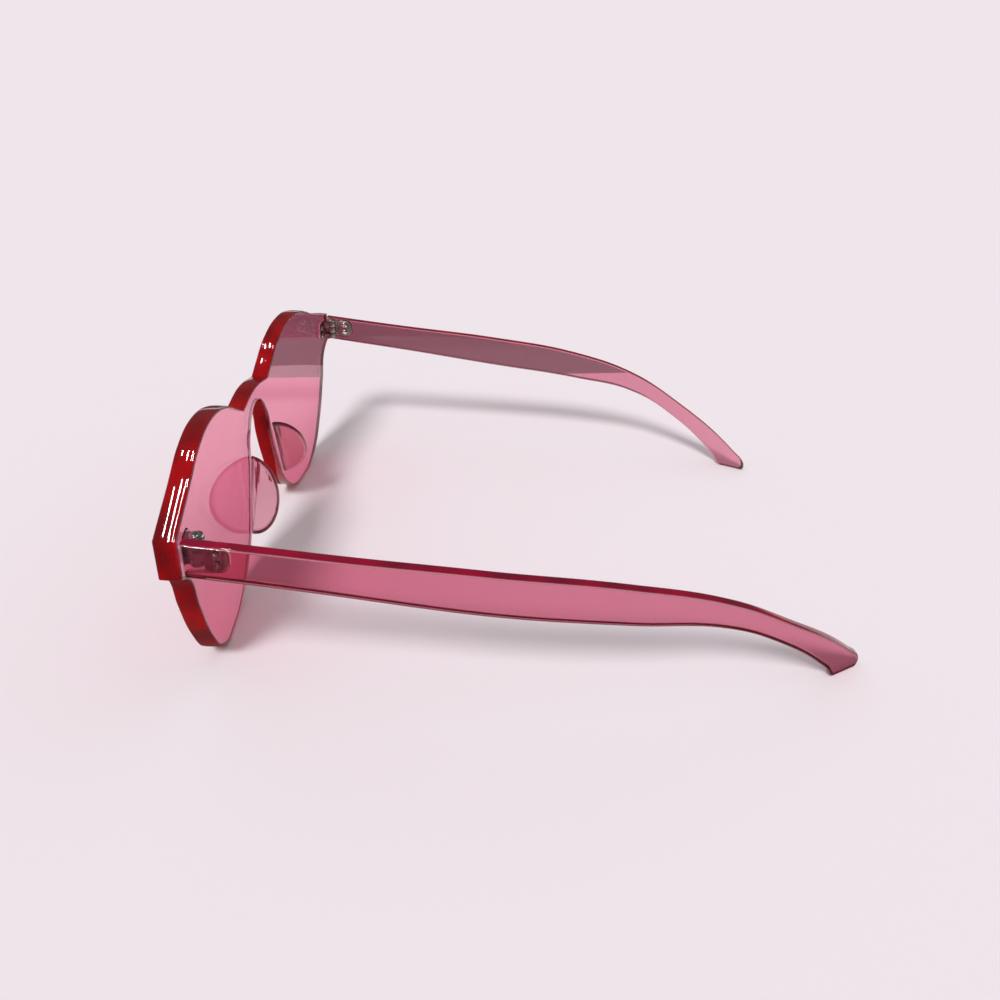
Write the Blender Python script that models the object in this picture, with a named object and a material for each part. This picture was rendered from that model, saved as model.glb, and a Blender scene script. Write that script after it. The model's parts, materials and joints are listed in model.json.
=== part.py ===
"""Round sunglasses with a one-piece transparent front, open and standing on a table.

The front is one moulded plate that is both lenses, the bridge and the end pieces. Two nose pads are fixed
behind it, and a small three-knuckle metal hinge at each end carries a temple.

+X is the wearer's left, -Y is where the wearer looks and +Z is up. The origin is on the table, under the middle
of the open sunglasses. Sizes are in millimetres and angles in degrees, and MM turns a size to metres.
"""

import math

import bmesh
import bpy
from mathutils import Matrix, Vector

MM = 0.001

# Front plate. Heights are above the table.
FRONT_WIDTH = 139.4
PLATE_THICKNESS = 4.3
PLATE_CHAMFER = 0.35
WRAP_RADIUS = 515.0
LENS_WIDTH = 54.0
LENS_HEIGHT = 53.2
LENS_SPACING = 74.0
BRIDGE_TOP = 45.7
BRIDGE_DEPTH = 4.1
NOTCH_SPACING = 22.4
NOTCH_HEIGHT = 44.2
END_PIECE_HEIGHT = 8.4

STANDING_LENGTH = 6.0

# The lens outline, as shares of half its width and half its height from its centre. It runs over the top from
# the bridge to the end piece, down the outer side to the short flat that the lens stands on, whose middle is
# STANDING_SHARE outwards, and from there up the nasal side.
LENS_TOP_SHARES = ((-0.76, 0.77), (-0.52, 0.895), (-0.04, 1.0), (0.35, 0.955), (0.72, 0.815))
LENS_OUTER_SHARES = ((1.015, 0.19), (0.93, -0.08), (0.725, -0.535), (0.475, -0.862))
STANDING_SHARE = 0.05
LENS_NASAL_SHARES = ((-0.37, -0.915), (-0.72, -0.64), (-0.915, -0.25), (-1.02, 0.053), (-1.075, 0.323))

# Temples
TEMPLE_REACH = 150.0
TEMPLE_THICKNESS = 2.6
TIP_THICKNESS = 2.2
TEMPLE_EDGE = 0.4
TEMPLE_FLARE = 22.0
TIP_INSET = 18.5

# The temple's height at stations along it, how far its middle line has dropped below the hinge there, and how
# far the last three lie from its end. The first two lie at shares of the way from the hinge to the ear.
HINGE_END_HEIGHT = 7.4
FORE_HEIGHT = 8.0
MIDDLE_HEIGHT = 9.4
EAR_HEIGHT = 8.8
BEND_HEIGHT = 6.4
NECK_HEIGHT = 6.0
FORE_DROP = 3.0
MIDDLE_DROP = 6.5
EAR_DROP = 10.1
BEND_DROP = 14.3
NECK_DROP = 21.9
FORE_SHARE = 0.3
MIDDLE_SHARE = 0.65
EAR_LENGTH = 60.0
BEND_LENGTH = 40.0
NECK_LENGTH = 25.0

# The temple's rounded end, which stands on a short flat. The heel is where its underside turns to that flat.
TIP_TOP = 6.3
TIP_TOP_LENGTH = 3.9
TIP_NOSE = 1.7
TIP_ROUNDING = 0.9
TIP_FLAT = 6.6
TIP_HEEL = 3.6
TIP_HEEL_LENGTH = 10.6

# Hinges. The offset of a leaf is how far its face lies from the pivot.
HINGE_HEIGHT = 40.1
KNUCKLE_RADIUS = 1.4
KNUCKLE_STACK = 5.3
MIDDLE_KNUCKLE = 1.7
FRONT_LEAF_LENGTH = 4.4
FRONT_LEAF_OFFSET = 2.3
TEMPLE_LEAF_LENGTH = 6.3
TEMPLE_LEAF_OFFSET = 1.2
LEAF_THICKNESS = 1.0
LEAF_CORNER = 1.9
WEB_STEP = 0.15
WEB_LAP = 0.3
FRONT_RECESS = 1.1
PIVOT_RADIUS = 0.6
PIVOT_HEAD_RADIUS = 1.25
PIVOT_HEAD_HEIGHT = 0.8
FIXING_RADIUS = 0.5
FIXING_HEAD_RADIUS = 0.85
FIXING_HEAD_HEIGHT = 0.4
FIXING_GRIP = 1.1
FIXING_SPACING = 2.4
SCREW_SLOT = 0.25

# Shares of a screw head: how wide its flat top is, and how much of its height is rounded.
HEAD_TOP_SHARE = 0.6
HEAD_DOME_SHARE = 0.35

# Nose pads
PAD_HEIGHT = 18.4
PAD_DEPTH = 7.2
PAD_THICKNESS = 1.9
PAD_EDGE = 0.6
PAD_CENTRE = 21.8
PAD_SPLAY_SHARE = 0.4

# Clearances
SEAT_GAP = 0.3
KNUCKLE_GAP = 0.2
SCREW_GAP = 0.12
BARREL_GAP = 0.1

# Fineness of the curved shapes
PLATE_STEPS = 5
TEMPLE_STEPS = 4
SLICE = 6.0
ROUND_SIDES = 20
SCREW_SIDES = 16
PAD_STEPS = 14
CORNER_STEPS = 5
JOINT_MARK = 5.0

# How an outline runs through a point: rounded by its neighbours, with a corner, or along the level.
SMOOTH, CORNER, LEVEL = "AUTO", "VECTOR", "FREE"

SIDES = ((1, "left"), (-1, "right"))

FRONT_TINT = (0.62, 0.10, 0.17)
TEMPLE_TINT = (0.55, 0.09, 0.17)
PAD_TINT = (0.75, 0.42, 0.50)
LEAF_METAL = (0.52, 0.49, 0.46)
SCREW_METAL = (0.70, 0.69, 0.68)


def back_face(x):
    """How far behind its middle the plate's back face lies at this distance from the middle."""
    return x * x / (2 * WRAP_RADIUS)


# Places worked out from the sizes. Depths count from the middle of the plate's back face until placed() moves them.
LENS_CENTRE_X = LENS_SPACING / 2
TEMPLE_OUTER_X = FRONT_WIDTH / 2
TEMPLE_INNER_X = TEMPLE_OUTER_X - TEMPLE_THICKNESS
PIVOT_X = TEMPLE_INNER_X - KNUCKLE_RADIUS - BARREL_GAP
PIVOT_Y = back_face(PIVOT_X) + FRONT_LEAF_OFFSET + LEAF_THICKNESS + SEAT_GAP - FRONT_RECESS
TEMPLE_START = back_face(TEMPLE_OUTER_X) + SEAT_GAP
LEAF_START = KNUCKLE_RADIUS + 2 * KNUCKLE_GAP
CENTRE_SHIFT = (PLATE_THICKNESS - TEMPLE_REACH) / 2

# The length and offset of each kind of leaf.
FRONT_LEAF = (FRONT_LEAF_LENGTH, FRONT_LEAF_OFFSET)
TEMPLE_LEAF = (TEMPLE_LEAF_LENGTH, TEMPLE_LEAF_OFFSET)


def clear_scene():
    for leftover in list(bpy.data.objects):
        bpy.data.objects.remove(leftover, do_unlink=True)


def new_collection(name, hidden=False):
    collection = bpy.data.collections.new(name)
    collection.hide_render = hidden
    bpy.context.scene.collection.children.link(collection)
    return collection


def new_material(name, colour, roughness, metallic=0.0, transmission=0.0):
    material = bpy.data.materials.new(name)
    material.use_nodes = True
    material.diffuse_color = (*colour, 1.0)
    shader = material.node_tree.nodes["Principled BSDF"]
    shader.inputs["Base Color"].default_value = (*colour, 1.0)
    shader.inputs["Roughness"].default_value = roughness
    shader.inputs["Metallic"].default_value = metallic
    shader.inputs["Transmission Weight"].default_value = transmission
    return material


def turn_out(bm, matrix):
    """Moves the shape, and turns its faces back out where the matrix mirrors it."""
    bmesh.ops.transform(bm, matrix=matrix, verts=bm.verts)
    if matrix.determinant() < 0:
        bmesh.ops.reverse_faces(bm, faces=bm.faces)


def mesh_object(name, bm, collection, matrix=None, material=None, joint=None):
    """An object from a shape in millimetres, placed by the matrix and set in the joint's frame if it has one."""
    turn_out(bm, Matrix.Scale(MM, 4) @ placed() @ (matrix or Matrix()))
    if joint:
        bmesh.ops.translate(bm, verts=bm.verts, vec=-joint.location)
    mesh = bpy.data.meshes.new(name)
    bm.to_mesh(mesh)
    bm.free()
    piece = bpy.data.objects.new(name, mesh)
    collection.objects.link(piece)
    piece.parent = joint
    if material:
        mesh.materials.append(material)
    mesh.shade_smooth()
    mesh.set_sharp_from_angle(angle=math.radians(30))
    return piece


def placed():
    """Brings the middle of the open sunglasses over the origin."""
    return Matrix.Translation((0, CENTRE_SHIFT, 0))


def mirrored(side):
    """Nothing for the left side, and a mirror across the middle for the right one."""
    return Matrix.Diagonal((side, 1, 1, 1))


def cutter_object(name, bm, matrix=None, joint=None):
    cutter = mesh_object(name, bm, cutters, matrix, None, joint)
    cutter.hide_render = True
    cutter.display_type = "WIRE"
    return cutter


def boolean(piece, other, operation):
    modifier = piece.modifiers.new(other.name, "BOOLEAN")
    modifier.object = other
    modifier.operation = operation
    modifier.solver = "EXACT"


def outline_solid(points, thickness, edge, steps, edge_steps=0):
    """A flat slab in millimetres, from closed Bezier points (u, v, kind), with its thickness along w."""
    curve = bpy.data.curves.new("outline", "CURVE")
    curve.dimensions = "2D"
    curve.fill_mode = "BOTH"
    curve.resolution_u = steps
    curve.extrude = thickness / 2 - edge
    curve.bevel_depth = edge
    curve.bevel_resolution = edge_steps
    curve.offset = -edge
    spline = curve.splines.new("BEZIER")
    spline.bezier_points.add(len(points) - 1)
    spline.use_cyclic_u = True
    for index, (knot, (u, v, kind)) in enumerate(zip(spline.bezier_points, points)):
        knot.co = (u, v, 0)
        knot.handle_left_type = knot.handle_right_type = kind
        if kind == LEVEL:
            before, after = points[index - 1][0], points[(index + 1) % len(points)][0]
            knot.handle_left = (u + (before - u) / 3, v, 0)
            knot.handle_right = (u + (after - u) / 3, v, 0)
    guide = bpy.data.objects.new("outline", curve)
    bpy.context.scene.collection.objects.link(guide)
    graph = bpy.context.evaluated_depsgraph_get()
    mesh = bpy.data.meshes.new_from_object(guide.evaluated_get(graph))
    bm = bmesh.new()
    bm.from_mesh(mesh)
    bmesh.ops.remove_doubles(bm, verts=bm.verts, dist=1e-3)
    bmesh.ops.dissolve_limit(bm, angle_limit=math.radians(0.5), verts=bm.verts, edges=bm.edges)
    bpy.data.objects.remove(guide)
    bpy.data.curves.remove(curve)
    bpy.data.meshes.remove(mesh)
    return bm


def slice_up(bm, start, end, step):
    """Cuts the flat faces across at even steps of u, so that they can be bent."""
    count = max(2, round((end - start) / step))
    for cut in range(1, count):
        u = start + (end - start) * cut / count
        everything = bm.verts[:] + bm.edges[:] + bm.faces[:]
        bmesh.ops.bisect_plane(bm, geom=everything, plane_co=(u, 0, 0), plane_no=(1, 0, 0), dist=1e-4)


def block(low, high, corner=0.0):
    """A box between two corners. Its upright edges at the high end of the first axis can be rounded."""
    bm = bmesh.new()
    bmesh.ops.create_cube(bm, size=1.0)
    low, high = Vector(low), Vector(high)
    size = high - low
    bmesh.ops.transform(
        bm, matrix=Matrix.Translation((low + high) / 2) @ Matrix.Diagonal((*size, 1)), verts=bm.verts
    )
    if corner:
        far_edges = [e for e in bm.edges if all(v.co.x > high.x - 1e-4 for v in e.verts) and is_along_y(e)]
        bmesh.ops.bevel(
            bm, geom=far_edges, offset=corner, segments=CORNER_STEPS, profile=0.5, affect="EDGES", material=-1
        )
    return bm


def is_along_y(edge):
    span = edge.verts[0].co - edge.verts[1].co
    return abs(span.x) < 1e-4 and abs(span.z) < 1e-4


def rod(radius, low, high, sides=ROUND_SIDES):
    """A cylinder up the third axis."""
    bm = bmesh.new()
    bmesh.ops.create_cone(
        bm, cap_ends=True, segments=sides, radius1=radius, radius2=radius, depth=high - low
    )
    bmesh.ops.translate(bm, verts=bm.verts, vec=(0, 0, (low + high) / 2))
    return bm


def along_n():
    """Turns the third axis to point against the leaf frame's second axis, out of the leaf's carrier."""
    return Matrix.Rotation(math.radians(90), 4, "X")


# Leaf frames. Their first axis runs along the leaf from the pivot, the second into what carries it, the third up.
def front_leaf_frame(side):
    turn = Matrix.Rotation(math.pi + math.atan2(PIVOT_X, WRAP_RADIUS), 4, "Z")
    return mirrored(side) @ Matrix.Translation((PIVOT_X, PIVOT_Y, HINGE_HEIGHT)) @ turn


def temple_leaf_frame(side):
    swap = Matrix(((0, 1, 0, 0), (1, 0, 0, 0), (0, 0, 1, 0), (0, 0, 0, 1)))
    return mirrored(side) @ Matrix.Translation((PIVOT_X, PIVOT_Y, HINGE_HEIGHT)) @ swap


def plate_outline():
    """The whole front in (x, height), from the middle of the bridge's top and round the wearer's left side first."""
    half_end = END_PIECE_HEIGHT / 2
    standing_x = LENS_CENTRE_X + STANDING_SHARE * LENS_WIDTH / 2
    half = [
        (NOTCH_SPACING / 2, NOTCH_HEIGHT, CORNER),
        *lens_points(LENS_TOP_SHARES),
        (FRONT_WIDTH / 2, HINGE_HEIGHT + half_end, CORNER),
        (FRONT_WIDTH / 2, HINGE_HEIGHT - half_end, CORNER),
        *lens_points(LENS_OUTER_SHARES),
        (standing_x + STANDING_LENGTH / 2, 0, LEVEL),
        (standing_x - STANDING_LENGTH / 2, 0, LEVEL),
        *lens_points(LENS_NASAL_SHARES),
    ]
    other_half = [(-x, height, kind) for x, height, kind in reversed(half)]
    return [(0, BRIDGE_TOP, SMOOTH), *half, (0, BRIDGE_TOP - BRIDGE_DEPTH, SMOOTH), *other_half]


def lens_points(shares):
    """Outline points (x, height) on the left lens."""
    return [
        (LENS_CENTRE_X + across * LENS_WIDTH / 2, (1 + up) * LENS_HEIGHT / 2, SMOOTH) for across, up in shares
    ]


def front_plate(collection, material):
    """The curved plate, with a recess and two blind holes for each front leaf. Returns it with its nasal edge."""
    bm = outline_solid(plate_outline(), PLATE_THICKNESS, PLATE_CHAMFER, PLATE_STEPS)
    wall = PLATE_THICKNESS / 2 - PLATE_CHAMFER
    nasal_edge = sorted(
        (v.co.y, v.co.x)
        for v in bm.verts
        if 0 < v.co.x < LENS_CENTRE_X and v.co.y < BRIDGE_TOP - BRIDGE_DEPTH and abs(v.co.z - wall) < 1e-3
    )
    slice_up(bm, -FRONT_WIDTH / 2, FRONT_WIDTH / 2, SLICE)
    for vertex in bm.verts:
        x, height, inward = vertex.co
        vertex.co = (x, back_face(x) - PLATE_THICKNESS / 2 - inward, height)
    plate = mesh_object("front_plate", bm, collection, None, material)
    for side, name in SIDES:
        frame = front_leaf_frame(side)
        recess = leaf_shape(FRONT_LEAF, -SEAT_GAP, SEAT_GAP, 0.0)
        boolean(plate, cutter_object(f"front_recess_{name}", recess, frame), "DIFFERENCE")
        for level, height in fixing_levels():
            hole = fixing_hole(FRONT_LEAF, height)
            boolean(plate, cutter_object(f"front_hole_{name}_{level}", hole, frame), "DIFFERENCE")
    return plate, nasal_edge


def leaf_shape(leaf_kind, start, growth, surface):
    """The leaf's rounded slab from its carrier side, grown by a clearance all round, out to the given surface."""
    length, offset = leaf_kind
    half = KNUCKLE_STACK / 2 + growth
    low = (start, surface, -half)
    high = (length + growth, offset + LEAF_THICKNESS + growth, half)
    return block(low, high, LEAF_CORNER + growth)


def fixing_levels():
    return (("upper", FIXING_SPACING / 2), ("lower", -FIXING_SPACING / 2))


def fixing_reach(leaf_kind):
    """How far from the pivot a leaf's two screws stand."""
    length, _ = leaf_kind
    return (LEAF_START + length) / 2


def fixing_hole(leaf_kind, height):
    """A blind hole through the leaf's slab and into its carrier."""
    _, offset = leaf_kind
    depth = offset + LEAF_THICKNESS + FIXING_GRIP + SCREW_GAP
    bm = rod(FIXING_RADIUS + SCREW_GAP, -depth, 0, SCREW_SIDES)
    bmesh.ops.transform(
        bm, matrix=Matrix.Translation((fixing_reach(leaf_kind), 0, height)) @ along_n(), verts=bm.verts
    )
    return bm


def hinge_leaf(name, side_name, leaf_kind, frame, knuckles, collection, material, joint=None):
    """A rounded slab with its knuckles. The knuckles are (low, high) pairs along the pivot."""
    _, offset = leaf_kind
    slab = leaf_shape(leaf_kind, LEAF_START, 0.0, offset)
    leaf = mesh_object(f"{name}_{side_name}", slab, collection, frame, material, joint)
    for index, (low, high) in enumerate(knuckles):
        web = block((0, WEB_STEP, low), (LEAF_START + WEB_LAP, offset + LEAF_THICKNESS - WEB_STEP, high))
        barrel = rod(KNUCKLE_RADIUS, low, high)
        boolean(leaf, cutter_object(f"{leaf.name}_web_{index}", web, frame, joint), "UNION")
        boolean(leaf, cutter_object(f"{leaf.name}_barrel_{index}", barrel, frame, joint), "UNION")
    bore = rod(PIVOT_RADIUS + SCREW_GAP, -KNUCKLE_STACK, KNUCKLE_STACK)
    boolean(leaf, cutter_object(f"{leaf.name}_bore", bore, frame, joint), "DIFFERENCE")
    for level, height in fixing_levels():
        hole = fixing_hole(leaf_kind, height)
        boolean(leaf, cutter_object(f"{leaf.name}_hole_{level}", hole, frame, joint), "DIFFERENCE")
    return leaf


def screw(name, shank, length, head, head_height, matrix, collection, material, joint=None):
    """A turned screw whose head stands on z = 0 and whose shank hangs below, with a slot across the head."""
    bm = bmesh.new()
    dome = HEAD_DOME_SHARE * head_height
    top = ((0, head_height), (HEAD_TOP_SHARE * head, head_height), (head, head_height - dome))
    seat = ((head, 0), (shank, 0))
    tip = ((shank, -length + shank / 2), (shank / 2, -length), (0, -length))
    ring = [bm.verts.new((radius, 0, height)) for radius, height in (*top, *seat, *tip)]
    edges = [bm.edges.new(pair) for pair in zip(ring, ring[1:])]
    bmesh.ops.spin(
        bm, geom=ring + edges, cent=(0, 0, 0), axis=(0, 0, 1), angle=math.tau, steps=SCREW_SIDES, use_merge=True
    )
    bmesh.ops.remove_doubles(bm, verts=bm.verts, dist=1e-4)
    bmesh.ops.recalc_face_normals(bm, faces=bm.faces)
    piece = mesh_object(name, bm, collection, matrix, material, joint)
    slot = block((-2 * head, -SCREW_SLOT / 2, head_height / 2), (2 * head, SCREW_SLOT / 2, 2 * head_height))
    boolean(piece, cutter_object(f"{name}_slot", slot, matrix, joint), "DIFFERENCE")
    return piece


def fixing_screws(name, side_name, leaf_kind, frame, collection, material, joint=None):
    _, offset = leaf_kind
    for level, height in fixing_levels():
        seat = Matrix.Translation((fixing_reach(leaf_kind), offset - SCREW_GAP, height))
        place = frame @ seat @ along_n()
        screw(
            f"{name}_{side_name}_{level}",
            FIXING_RADIUS,
            SCREW_GAP + LEAF_THICKNESS + FIXING_GRIP,
            FIXING_HEAD_RADIUS,
            FIXING_HEAD_HEIGHT,
            place,
            collection,
            material,
            joint,
        )


def temple_bow(y):
    """How far the temple's outer face has moved outwards at this depth: a slight bow, then in to the head."""
    share = (y - TEMPLE_START) / (TEMPLE_REACH - TEMPLE_START)
    return TEMPLE_FLARE * share**2 - (TEMPLE_FLARE + TIP_INSET) * share**3


def temple_outline():
    """The temple's side view in (depth, height), along its top to the tip and back under it."""
    to_ear = TEMPLE_REACH - EAR_LENGTH - TEMPLE_START
    stations = (
        (TEMPLE_START + FORE_SHARE * to_ear, FORE_DROP, FORE_HEIGHT),
        (TEMPLE_START + MIDDLE_SHARE * to_ear, MIDDLE_DROP, MIDDLE_HEIGHT),
        (TEMPLE_REACH - EAR_LENGTH, EAR_DROP, EAR_HEIGHT),
        (TEMPLE_REACH - BEND_LENGTH, BEND_DROP, BEND_HEIGHT),
        (TEMPLE_REACH - NECK_LENGTH, NECK_DROP, NECK_HEIGHT),
    )
    half = HINGE_END_HEIGHT / 2
    top = [(TEMPLE_START, HINGE_HEIGHT + half, CORNER)]
    bottom = [(TEMPLE_START, HINGE_HEIGHT - half, CORNER)]
    for depth, drop, height in stations:
        top.append((depth, HINGE_HEIGHT - drop + height / 2, SMOOTH))
        bottom.append((depth, HINGE_HEIGHT - drop - height / 2, SMOOTH))
    flat_end = TEMPLE_REACH - TIP_ROUNDING
    tip = [
        (TEMPLE_REACH - TIP_TOP_LENGTH, TIP_TOP, SMOOTH),
        (TEMPLE_REACH, TIP_NOSE, SMOOTH),
        (flat_end, 0, LEVEL),
        (flat_end - TIP_FLAT, 0, LEVEL),
        (TEMPLE_REACH - TIP_HEEL_LENGTH, TIP_HEEL, SMOOTH),
    ]
    return [*top, *tip, *reversed(bottom)]


def temple(side, side_name, collection, material, joint):
    """The temple, with the pocket and the blind holes for its leaf on the inner face."""
    bm = outline_solid(temple_outline(), TEMPLE_THICKNESS, TEMPLE_EDGE, TEMPLE_STEPS, 1)
    slice_up(bm, TEMPLE_START, TEMPLE_REACH, SLICE)
    for vertex in bm.verts:
        y, height, outward = vertex.co
        share = (y - TEMPLE_START) / (TEMPLE_REACH - TEMPLE_START)
        thin = 1 + (TIP_THICKNESS / TEMPLE_THICKNESS - 1) * share
        inset = (TEMPLE_THICKNESS / 2 - outward) * thin
        vertex.co = (TEMPLE_OUTER_X + temple_bow(y) - inset, y, height)
    arm = mesh_object(f"temple_{side_name}", bm, collection, mirrored(side), material, joint)
    frame = temple_leaf_frame(side)
    pocket = leaf_shape(TEMPLE_LEAF, -TEMPLE_LEAF_LENGTH, SEAT_GAP, 0.0)
    boolean(arm, cutter_object(f"{arm.name}_pocket", pocket, frame, joint), "DIFFERENCE")
    for level, height in fixing_levels():
        hole = fixing_hole(TEMPLE_LEAF, height)
        boolean(arm, cutter_object(f"{arm.name}_hole_{level}", hole, frame, joint), "DIFFERENCE")
    return arm


def nasal_x(nasal_edge, height):
    """The plate's nasal edge at this height, read between the outline's own points."""
    for (low, x_low), (high, x_high) in zip(nasal_edge, nasal_edge[1:]):
        if low <= height <= high:
            return x_low + (x_high - x_low) * (height - low) / (high - low)
    return nasal_edge[-1][1]


def nose_pad(side, side_name, nasal_edge, collection, material):
    """A rounded fin that stands on the plate's back face along the nasal edge and splays outwards to the back."""
    points = [(0, PAD_HEIGHT / 2, CORNER), (0, -PAD_HEIGHT / 2, CORNER)]
    for step in range(1, PAD_STEPS):
        angle = math.pi * (step / PAD_STEPS - 0.5)
        points.append((PAD_DEPTH * math.cos(angle), PAD_HEIGHT / 2 * math.sin(angle), SMOOTH))
    bm = outline_solid(points, PAD_THICKNESS, PAD_EDGE, 1, 1)
    for vertex in bm.verts:
        depth, rise, across = vertex.co
        height = PAD_CENTRE + rise
        x = nasal_x(nasal_edge, height) + PLATE_CHAMFER + PAD_THICKNESS / 2 + across + PAD_SPLAY_SHARE * depth
        vertex.co = (x, back_face(x) + SEAT_GAP + depth, height)
    return mesh_object(f"nose_pad_{side_name}", bm, collection, mirrored(side), material)


def knuckle_ranges():
    """The (low, high) pairs of the front leaf's two knuckles and of the temple leaf's one."""
    middle = MIDDLE_KNUCKLE / 2
    outer = (middle + KNUCKLE_GAP, KNUCKLE_STACK / 2)
    return ((-outer[1], -outer[0]), outer), ((-middle, middle),)


def hinge(side, side_name, collection, leaf_material, screw_material, joint):
    front_knuckles, temple_knuckles = knuckle_ranges()
    front_frame = front_leaf_frame(side)
    temple_frame = temple_leaf_frame(side)
    for name, leaf_kind, frame, knuckles, carrier in (
        ("front_leaf", FRONT_LEAF, front_frame, front_knuckles, None),
        ("temple_leaf", TEMPLE_LEAF, temple_frame, temple_knuckles, joint),
    ):
        hinge_leaf(f"hinge_{name}", side_name, leaf_kind, frame, knuckles, collection, leaf_material, carrier)
        fixing_screws(f"{name}_screw", side_name, leaf_kind, frame, collection, screw_material, carrier)
    screw(
        f"pivot_screw_{side_name}",
        PIVOT_RADIUS,
        KNUCKLE_STACK + SCREW_GAP,
        PIVOT_HEAD_RADIUS,
        PIVOT_HEAD_HEIGHT,
        front_frame @ Matrix.Translation((0, 0, KNUCKLE_STACK / 2 + SCREW_GAP)),
        collection,
        screw_material,
    )


def temple_joint(side, side_name, collection):
    """The empty that its temple turns on."""
    joint = bpy.data.objects.new(f"temple_joint_{side_name}", None)
    joint.location = MM * (placed() @ Vector((side * PIVOT_X, PIVOT_Y, HINGE_HEIGHT)))
    joint.empty_display_size = JOINT_MARK * MM
    collection.objects.link(joint)
    return joint


clear_scene()
sunglasses = new_collection("round_sunglasses")
cutters = new_collection("cutters", hidden=True)
front_plastic = new_material("front_polycarbonate", FRONT_TINT, 0.08, transmission=0.9)
temple_plastic = new_material("temple_polycarbonate", TEMPLE_TINT, 0.12, transmission=0.85)
pad_plastic = new_material("pad_polycarbonate", PAD_TINT, 0.2, transmission=0.8)
leaf_metal = new_material("nickel_silver_leaf", LEAF_METAL, 0.35, metallic=1.0)
screw_metal = new_material("steel_screw", SCREW_METAL, 0.25, metallic=1.0)

_, nasal_edge_points = front_plate(sunglasses, front_plastic)
for side_sign, side_word in SIDES:
    turning = temple_joint(side_sign, side_word, sunglasses)
    nose_pad(side_sign, side_word, nasal_edge_points, sunglasses, pad_plastic)
    temple(side_sign, side_word, sunglasses, temple_plastic, turning)
    hinge(side_sign, side_word, sunglasses, leaf_metal, screw_metal, turning)
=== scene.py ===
"""The looks of a pair of round sunglasses moulded in clear red plastic, open and standing on a table.

The file is laid out as an add-on. Property groups hold the sizes and colours, an operator makes each group
of like pieces, and a panel in the 3D view's sidebar lists them. Shapes are drawn in millimetres and brought
to metres when they become pieces. +X is the wearer's left, -Y is where the wearer looks and +Z is up.
"""

import json
import math
from types import SimpleNamespace

import bmesh
import bpy
from mathutils import Matrix, Vector


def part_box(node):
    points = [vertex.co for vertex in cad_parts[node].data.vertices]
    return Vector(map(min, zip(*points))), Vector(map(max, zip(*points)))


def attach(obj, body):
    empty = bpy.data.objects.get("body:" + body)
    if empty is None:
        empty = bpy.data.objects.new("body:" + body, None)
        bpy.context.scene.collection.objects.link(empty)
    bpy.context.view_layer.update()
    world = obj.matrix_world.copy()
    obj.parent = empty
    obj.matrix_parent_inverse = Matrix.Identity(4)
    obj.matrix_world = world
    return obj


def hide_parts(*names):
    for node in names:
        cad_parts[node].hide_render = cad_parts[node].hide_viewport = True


bl_info = {
    "name": "Round Sunglasses",
    "version": (1, 0, 0),
    "blender": (4, 5, 0),
    "location": "View3D > Sidebar > Sunglasses",
    "description": "Makes the round sunglasses in clear red plastic, with metal hinges, and their studio",
    "category": "Add Mesh",
}

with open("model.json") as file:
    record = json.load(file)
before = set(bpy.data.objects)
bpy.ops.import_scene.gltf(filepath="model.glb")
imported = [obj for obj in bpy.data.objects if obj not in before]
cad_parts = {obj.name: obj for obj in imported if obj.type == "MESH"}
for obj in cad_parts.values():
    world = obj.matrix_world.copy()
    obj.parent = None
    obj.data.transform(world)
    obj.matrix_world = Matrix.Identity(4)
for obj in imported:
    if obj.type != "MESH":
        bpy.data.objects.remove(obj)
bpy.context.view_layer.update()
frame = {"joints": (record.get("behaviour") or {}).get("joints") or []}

MM = 0.001
SIDES = ((1, "left"), (-1, "right"))

# The lens outline, as shares of half its width and half its height from its centre. It runs over the top
# from the bridge to the end piece, down the outer side to the short flat that the lens stands on, whose
# middle is STANDING_SHARE outwards, and from there up the nasal side.
LENS_TOP_SHARES = ((-0.76, 0.77), (-0.52, 0.895), (-0.04, 1.0), (0.35, 0.955), (0.72, 0.815))
LENS_OUTER_SHARES = ((1.015, 0.19), (0.93, -0.08), (0.725, -0.535), (0.475, -0.862))
STANDING_SHARE = 0.05
LENS_NASAL_SHARES = ((-0.37, -0.915), (-0.72, -0.64), (-0.915, -0.25), (-1.02, 0.053), (-1.075, 0.323))

# The temple's stations: how far along from the hinge to the ear or how far from the end, how far its middle
# line has dropped below the hinge, and its height there, in millimetres.
TEMPLE_SHARE_STATIONS = ((0.3, 3.0, 8.0), (0.65, 6.5, 9.4))
TEMPLE_END_STATIONS = ((60.0, 10.1, 8.8), (40.0, 14.3, 6.4), (25.0, 21.9, 6.0))

# How an outline runs through a point: rounded by its neighbours, with a corner, or along the level.
SMOOTH, CORNER, LEVEL = "AUTO", "VECTOR", "FREE"

# Fineness of the curved shapes: steps, sides, and how many millimetres the cuts across bent pieces lie apart
OUTLINE_STEPS = 20
PAD_OUTLINE_STEPS = 2
PAD_STEPS = 36
EDGE_STEPS = 3
EASE_STEPS = 2
CROWN_STEPS = 6
CORNER_STEPS = 10
DOME_STEPS = 6
ROUND_SIDES = 48
SCREW_SIDES = 40
TABLE_SIDES = 96
PLATE_SLICE = 1.0
TEMPLE_SLICE = 1.0

# Edges that turn by more than the first angle look sharp, and an outline's points that turn it by less than
# the second one are left out.
SHARP_ANGLE = math.radians(32)
STRAIGHT_ANGLE = math.radians(0.02)

# How near, in millimetres, two places are to count as one: on a filled outline, and on other shapes.
OUTLINE_GAP = 1e-3
SHAPE_GAP = 1e-4

# A slab's face counts as flat where at least this share of its normal runs along the thickness.
FLAT_NORMAL = 0.999

# The attribute that says how far a point of a slab is from its flat faces. It is 0 on them, and reaches 1 at
# this share of the edge's radius.
# It sets how much of the painted edge glow a point's colour takes.
EDGE_SHARE = "edge_share"
EDGE_ONSET = 0.3

# A screw's head: how much of its radius is flat on top, how much of its height is upright, and how far its
# underside is eased, in millimetres.
DOME_FLAT = 0.62
DOME_UPRIGHT = 0.5
HEAD_EASE = 0.06

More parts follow.
